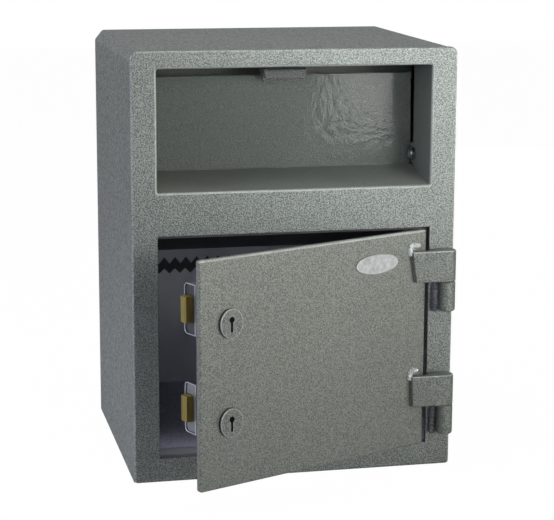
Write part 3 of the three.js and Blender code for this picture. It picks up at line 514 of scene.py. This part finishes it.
def felt(name, colour):
    """Needled felt: short crossing fibres, a stretched fine noise, with a soft sheen."""
    finish, tree, shader, place = new_finish(name)
    stretch = add_node(tree, "Mapping", {"Vector": place, "Scale": (1, 0.35, 1)})
    fibres = add_node(tree, "TexNoise", {"Vector": stretch, "Scale": 700, "Detail": 4, "Roughness": 0.7})
    feed(tree, shader, {
        "Base Color": shaded(tree, fibres, colour, 0.3, 0.55, 0.7, 1.5),
        "Roughness": 0.95,
        "Sheen Weight": 0.3,
        "Normal": add_node(tree, "Bump", {"Height": fibres, "Strength": 0.6, "Distance": 0.4 * mm}),
    })
    return finish


# The felt's colour is much paler than the dark mat, as painted light on the shaded floor.
dress(felt("mat_felt_lit", (0.58, 0.58, 0.72)), "floor_mat")


# Hopper.
# The flap, the two cheeks with their ears and the bent pull tab, in the body's paint with a
# glossier top layer, on two zinc-plated pins in plain bushes, and the baffle under the roof.

roof_paint = hammer_paint("roof_hammer_paint", (0.078, 0.088, 0.073), speckle=0.1, relief=0.2,
                          roughness=0.45, metallic=0.3, coat=0.1, coat_roughness=0.15)
flap_paint = hammer_paint("flap_hammer_paint", (0.064, 0.075, 0.061), speckle=0.22, relief=0.35,
                          roughness=0.5, metallic=0.25, coat=0.15, coat_roughness=0.03, waves=0.1)
tab_paint = hammer_paint("tab_hammer_paint", (0.105, 0.107, 0.102), speckle=0.34, relief=0.8,
                         roughness=0.45, metallic=0.35)
dress(roof_paint, "roof_baffle")
dress(flap_paint, "hopper_flap", "hopper_cheek_left", "hopper_cheek_right")

tab_thick = 2.5
tab_half = 28
tab_taper = 0.3
tab_top = 501.1
tab_front = -102.9
tab_back = -76.4
lip_low = 487.8
tongue_low = 481.1
tongue_thick = 2.7

tab_section = rounded(
    [(tab_back - tongue_thick, tongue_low), (tab_back, tongue_low), (tab_back, tab_top),
     (tab_front, tab_top), (tab_front, lip_low), (tab_front + tab_thick, lip_low),
     (tab_front + tab_thick, tab_top - tab_thick), (tab_back - tab_thick, tab_top - tab_thick)],
    [0.8, 0.8, 1, 3.5, 1.1, 1.1, 1, 1.5],
)
tab_points, tab_faces = layered([tab_section], [edge_profile(-tab_half, tab_half, 0.9, 0.9)], "yzx")
tab_points[:, 0] *= 1 - (tab_top - tab_points[:, 2]) * tab_taper / tab_half
make_piece("pull_tab_painted", "pull_tab", (tab_points, tab_faces), tab_paint, "hopper")


def bare_metal(name, colour, roughness, streak, dark=0.62, metallic=1.0):
    """Drawn or plated metal: a noise stretched along one axis streaks its shade and its gloss."""
    finish, tree, shader, place = new_finish(name)
    stretch = add_node(tree, "Mapping", {"Vector": place, "Scale": streak})
    lines = add_node(tree, "TexNoise", {"Vector": stretch, "Scale": 160, "Detail": 5, "Roughness": 0.65})
    feed(tree, shader, {
        "Base Color": shaded(tree, lines, colour, 0.35, dark, 0.65, 1),
        "Roughness": add_node(tree, "MapRange", {
            "Value": lines, "To Min": roughness + 0.12, "To Max": roughness - 0.08,
        }),
        "Metallic": metallic,
    })
    return finish


zinc = bare_metal("bright_zinc", (0.66, 0.67, 0.74), roughness=0.3, streak=(1, 1, 0.2), dark=0.8)
steel = bare_metal("bare_steel", (0.5, 0.5, 0.51), roughness=0.36, streak=(1, 1, 0.15))
brass = bare_metal("drawn_brass", (0.37, 0.275, 0.065), roughness=0.42, streak=(1, 1, 0.1), dark=0.6,
                   metallic=0.5)
dress(zinc, "hopper_pin_left", "hopper_pin_right")
dress(inner_paint("bush_nylon", (0.6, 0.58, 0.53), roughness=0.45), "hopper_bush_left", "hopper_bush_right")


# Hinge barrels and pins.
# Each barrel is a bored bar with a rounded foot end, welded to the front plate by a bead down
# its left side; the steel pin stands in its bore.

pin = np.array([189.5, -183.5])
barrel_length = 38
barrel_radius = 10.3
bore_radius = 6.2
bore_floor = 6
by_axis = 0.01


def turned(profile, centre, count=48):
    """A turned bar, upright: each pair of radius and height in the closed profile goes once round
    the centre, at the radius times the cosine and sine of evenly spaced angles."""
    profile = np.asarray(profile, float)
    angle = 2 * math.pi * np.arange(count) / count
    ring = np.column_stack([np.cos(angle), np.sin(angle)])
    flat = centre + profile[:, None, :1] * ring[None, :, :]
    height = np.broadcast_to(profile[:, 1][:, None, None], (len(profile), count, 1))
    points = np.concatenate([flat, height], axis=2).reshape(-1, 3)
    return points, ring_quads(len(profile), count, closed=True).tolist()


def bead(path, radius, ripple, count=14):
    """A weld bead along a path on a face that looks forward. At each point a ring stands across
    the path, radius times cosine along the face and times sine out of it. The radius swells from
    nothing at the ends as the square root of one minus the eighth power of the way from the
    middle, and ripples as a sine."""
    outward = np.array([0.0, -1.0, 0.0])
    along = np.gradient(path, axis=0)
    along /= np.linalg.norm(along, axis=1)[:, None]
    aside = np.cross(along, outward)
    aside /= np.linalg.norm(aside, axis=1)[:, None]
    way = np.linspace(-1, 1, len(path))
    swell = radius * np.sqrt(np.clip(1 - way**8, 0.0004, 1)) * (1 + ripple * np.sin(way * len(path) * 0.9))
    angle = 2 * math.pi * np.arange(count) / count
    ring = np.cos(angle)[None, :, None] * aside[:, None, :] + np.sin(angle)[None, :, None] * outward
    points = (path[:, None, :] + swell[:, None, None] * ring).reshape(-1, 3)
    faces = ring_quads(len(path), count)[:, [0, 3, 2, 1]].tolist()
    faces.append(list(range(count)))
    faces.append(list(range(len(path) * count - 1, (len(path) - 1) * count - 1, -1)))
    return points, faces


# The welds on the straps are painted pale and glossy, as painted highlights.
weld_highlight_paint = hammer_paint("weld_highlight_hammer_paint", (0.62, 0.64, 0.62), speckle=0.35, relief=0.8,
                          roughness=0.25, coat=0.8, coat_roughness=0.12)
seam_paint = hammer_paint("seam_hammer_paint", (0.2, 0.2, 0.215), speckle=0.5, relief=0.8,
                          roughness=0.36, metallic=0.4, coat=0.3, coat_roughness=0.15)
hinge_paint = hammer_paint("hinge_hammer_paint", (0.2, 0.215, 0.187), speckle=0.46, relief=0.35)

saddle = np.array([(185.0, -176.0), (194.0, -176.0), (194.0, -168.8), (185.0, -168.8)])
seam_x = 179.2
seam_y = -170.8
seam_sway = 1.2
seam_start = -4
seam_length = 39
seam_points = 26
for place, top in (("upper", 242.1), ("lower", 83.6)):
    low = top - barrel_length
    bar = turned(
        [(by_axis, low), (6.9, low), (8.7, low + 0.45), (9.8, low + 1.4), (barrel_radius, low + 3.2),
         (barrel_radius, top - 0.6), (barrel_radius - 0.6, top), (bore_radius, top),
         (bore_radius, low + bore_floor), (by_axis, low + bore_floor)],
        pin,
    )
    foot = layered([saddle], [edge_profile(low + 2.2, top - 0.4, 0.5, 0.5)], "xyz")
    climb = np.linspace(0, 1, seam_points)
    seam = bead(np.column_stack([
        seam_x - seam_sway * (1 - climb)**2,
        np.full(seam_points, seam_y),
        low + seam_start + climb * seam_length,
    ]), radius=6.2, ripple=0.08)
    shape = together(bar, foot, seam)
    in_seam = np.arange(len(shape[1])) >= len(bar[1]) + len(foot[1])
    make_piece("hinge_barrel_painted_" + place, "hinge_barrel_" + place, shape, hinge_paint,
               "body", also=[(seam_paint, in_seam)])
    dress(steel, "hinge_pin_" + place)


# Door plate and its hinge straps.
# An 8 mm plate with rounded edges, stood 23.5 degrees open as it was seen. Each strap is a thick
# bar whose knuckle drops over a pin, tapered down onto the door and welded along its top corner.

door_angle = math.radians(23.5)
door_gap = 1.8
door_face = -167.5
door_back = -159.5
door_round = 2.2
key_x = -126.4
key_heights = (("upper", 233.2), ("lower", 114.7))


def opened(shape):
    """A shape made on the closed door, turned about the hinge pins by the opening angle."""
    points, faces = shape
    along = points[:, 0] - pin[0]
    across = points[:, 1] - pin[1]
    swung = np.column_stack([
        pin[0] + along * math.cos(door_angle) - across * math.sin(door_angle),
        pin[1] + along * math.sin(door_angle) + across * math.cos(door_angle),
        points[:, 2],
    ])
    return swung, faces


def arc(centre_u, centre_v, radius, start, end, count):
    """Points on a circle: centre plus radius times the cosine and sine of evenly spaced angles."""
    angle = np.radians(np.linspace(start, end, count))
    return np.column_stack([centre_u + radius * np.cos(angle), centre_v + radius * np.sin(angle)])


def keyhole(z, head=3.8, slot_half=1.55, slot_foot=14.9):
    """Clockwise outline of a keyhole: a round head, and a slot down from it to its foot."""
    gap = math.degrees(math.asin(slot_half / head))
    return np.vstack([
        [[key_x - slot_half, z - slot_foot]],
        arc(key_x, z, head, 270 - gap, gap - 90, 25),
        [[key_x + slot_half, z - slot_foot]],
    ])


door_half = half_opening - door_gap
door_low = store_low + door_gap
door_top = store_top - door_gap
door_outline = rounded(
    [(-door_half, door_low), (door_half, door_low), (door_half, door_top), (-door_half, door_top)],
    [3, 3, 3, 3],
)
through_door = edge_profile(door_face, door_back, 0.6, 0.6)
door_shape = layered(
    [door_outline, *(keyhole(z) for place, z in key_heights)],
    [edge_profile(door_face, door_back, door_round, 1.2), through_door, through_door],
)
door_paint = hammer_paint("door_hammer_paint", (0.22, 0.235, 0.202), speckle=0.4, relief=0.35)
# A paler copy of the door's paint along its top edge is a painted highlight; the keyholes' walls are
# painted shade.
door_top_highlight = hammer_paint("door_top_highlight_paint", (0.52, 0.54, 0.49), speckle=0.2, relief=0.2, roughness=0.4,
                         metallic=0.3, coat=0.2)
door_x, door_y, door_z = middles(door_shape).T
in_rounding = (door_y > door_face + 0.01) & (door_y < door_face + door_round + 0.1)
upper_edge = in_rounding & (door_z > door_top - door_round)
off_faces = (door_y > door_face + 0.1) & (door_y < door_back - 0.1)
in_keyhole = off_faces & (np.abs(door_x - key_x) < 5)
make_piece("door_plate_painted", "door_plate", opened(door_shape), door_paint, "door",
           also=[(door_top_highlight, upper_edge), (dark_shade, in_keyhole)])

strap_height = 39
strap_tip_x = 145
strap_tip_y = -174.8
strap_foot_x = 158
tip_radius = 1.6
on_door = door_face - 0.3
run = pin[0] - strap_tip_x
drop = strap_tip_y - pin[1]
strap_slope = math.degrees(math.atan2(-drop, run) - math.asin(barrel_radius / math.hypot(run, drop)))
strap_plan = np.vstack([
    [[strap_tip_x, on_door]],
    arc(strap_tip_x + tip_radius, strap_tip_y + tip_radius, tip_radius, 180, 270 + strap_slope, 6),
    arc(pin[0], pin[1], barrel_radius, strap_slope - 90, 90, 30),
    [[strap_foot_x, strap_tip_y + tip_radius], [strap_foot_x, on_door]],
])
# The strap's left end leans: its top goes out by the slant and its foot comes in. The weld's points,
# in x and z, climb that end and follow the top.
weld_y = -168.3
weld_points = 22
for place, low, slant, corner in (
    ("upper", 242.5, 3.5, ((141.5, 275), (141.5, 284), (144, 288), (150, 288.5), (159, 287.5))),
    ("lower", 84.0, 1.0, ((144.6, 117), (144.2, 124), (146.5, 128.5), (151, 129.3), (158, 128.6))),
):
    points, faces = layered([strap_plan], [edge_profile(low, low + strap_height, 1.0, 1.0)], "xyz")
    share = np.clip((strap_foot_x - points[:, 0]) / (strap_foot_x - strap_tip_x), 0, 1)
    lean = (points[:, 2] - low) / (strap_height / 2) - 1
    points[:, 0] -= slant * share * lean
    corner_x, corner_z = np.transpose(corner)
    way = np.linspace(0, len(corner) - 1, weld_points)
    weld = bead(np.column_stack([
        np.interp(way, np.arange(len(corner)), corner_x),
        np.full(weld_points, weld_y),
        np.interp(way, np.arange(len(corner)), corner_z),
    ]), radius=4.1, ripple=0.1)
    shape = opened(together((points, faces), weld))
    welded = np.arange(len(shape[1])) >= len(faces)
    below_top = low + strap_height - middles(shape)[:, 2]
    top_edge = ~welded & (below_top > 0.01) & (below_top < 0.95)
    # The welds and the strap's top edge carry painted highlights.
    make_piece("hinge_strap_painted_" + place, "hinge_strap_" + place, shape, hinge_paint,
               "door", also=[(weld_highlight_paint, welded), (rim_highlight_paint, top_edge)])


# Escutcheons and badge.
# Two raised oval steel plates round the keyholes, painted with the door, and a small oval plate
# of satin silver, left bare, with a raised rim.


def oval(x, z, half_across, half_up, step):
    """Points round an ellipse: half its width times cosine across and half its height times sine
    up, a step of so many degrees apart."""
    turn = np.radians(np.arange(0, 360, step))
    return np.column_stack([x + half_across * np.cos(turn), z + half_up * np.sin(turn)])


plate_face = on_door - 4
plate_across = 16
plate_up = 17.75
below_key = 4.4
for place, z in key_heights:
    shape = layered(
        [oval(key_x, z - below_key, plate_across, plate_up, 7.5), keyhole(z)],
        [edge_profile(plate_face, on_door, 1.2, 0, 7), edge_profile(plate_face, on_door, 0.5, 0)],
    )
    behind = middles(shape)[:, 1] - plate_face
    rim = (behind > 0.01) & (behind < 0.9)
    walls = (behind >= 0.9) & (behind < 3.9)
    # The plate's rim carries a painted highlight and its side walls painted shade.
    make_piece("escutcheon_painted_" + place, "escutcheon_" + place, opened(shape), hinge_paint,
               "door", also=[(rim_highlight_paint, rim), (dark_shade, walls)])

badge_x = 89.5
badge_z = 272.3
badge_across = 32.75
badge_up = 12.75
badge_rim = [(2.2, 1.0), (1.5, 1.05), (1.1, 1.45), (0.7, 1.6), (0.25, 1.3), (0, 0.8), (0, 0)]
badge_shape = layered([oval(badge_x, badge_z, badge_across, badge_up, 5)],
                      [[(away, on_door - height) for away, height in badge_rim]])
badge_height = on_door - middles(badge_shape)[:, 1]
silver = bare_metal("badge_silver", (0.57, 0.59, 0.56), roughness=0.4, streak=(1, 1, 1), dark=0.64,
                    metallic=0.35)
# The rim's paler silver is a painted highlight, and the badge's side wall is painted shade.
rim_highlight_silver = bare_metal("badge_rim_highlight_silver", (0.62, 0.64, 0.6), roughness=0.3, streak=(1, 1, 1), dark=0.8,
                        metallic=0.5)
make_piece("badge_plate_silver", "badge_plate", opened(badge_shape), silver, "door",
           also=[(rim_highlight_silver, badge_height > 1.02), (dark_shade, badge_height < 0.9)])


# Locks.
# Two lever locks behind the door. Each case is a zinc-plated sheet bent into a channel, with end
# plates set in a little, on a steel bracket; the bolt and the levers are brass.

case_left = -157.3
case_right = -87.3
case_mouth = -140.2
case_back = -118.5
case_half = 30.5
case_wall = 1.5
case_above_key = 9.1
end_thick = 1.5
set_in = 1.7
end_back = -120.5
end_half = 28.8
slant_back = end_back - 3.5
slant_half = 25
slot_half = 15.8
slot_back = -134.4
# The two locks are alike: the upper end plate's dark tone is painted shade and the lower one's paler tone a
# painted reflection.
end_plate_light_tones = (0.09, 0.3)

for (place, key_z), light_tone in zip(key_heights, end_plate_light_tones):
    z = key_z + case_above_key
    channel = rounded(
        [(case_mouth, z - case_half), (case_back, z - case_half), (case_back, z + case_half),
         (case_mouth, z + case_half), (case_mouth, z + case_half - case_wall),
         (case_back - case_wall, z + case_half - case_wall),
         (case_back - case_wall, z - case_half + case_wall), (case_mouth, z - case_half + case_wall)],
        [0, 6, 6, 0, 0, 4.5, 4.5, 0],
    )
    bent = layered([channel], [edge_profile(case_left, case_right, 0.4, 0.4)], "yzx")
    slotted = np.array([
        (case_mouth, z - end_half), (slant_back, z - end_half), (end_back, z - slant_half),
        (end_back, z - slot_half), (slot_back, z - slot_half), (slot_back, z + slot_half),
        (end_back, z + slot_half), (end_back, z + slant_half), (slant_back, z + end_half),
        (case_mouth, z + end_half),
    ])
    closed = slotted[[0, 1, 2, 7, 8, 9]]
    near = case_left + set_in
    far = case_right - set_in
    near_end = layered([slotted], [edge_profile(near, near + end_thick, 0.3, 0)], "yzx")
    far_end = layered([closed], [edge_profile(far - end_thick, far, 0, 0.3)], "yzx")
    shape = opened(together(bent, near_end, far_end))
    in_ends = np.arange(len(shape[1])) >= len(bent[1])
    end_plate_light = bare_metal("end_plate_light_zinc_" + place, (light_tone, light_tone, light_tone * 1.06), roughness=0.5,
                           streak=(1, 1, 0.2), dark=0.8, metallic=0.6)
    make_piece("lock_case_plated_" + place, "lock_case_" + place, shape, zinc, "door",
               also=[(end_plate_light, in_ends)])
    dress(zinc, "lock_cap_" + place, "lock_screw_" + place + "_1", "lock_screw_" + place + "_2")
    dress(steel, "lock_bracket_" + place, "key_rotor_" + place)
    dress(brass, "lock_bolt_" + place, "lever_pack_" + place)
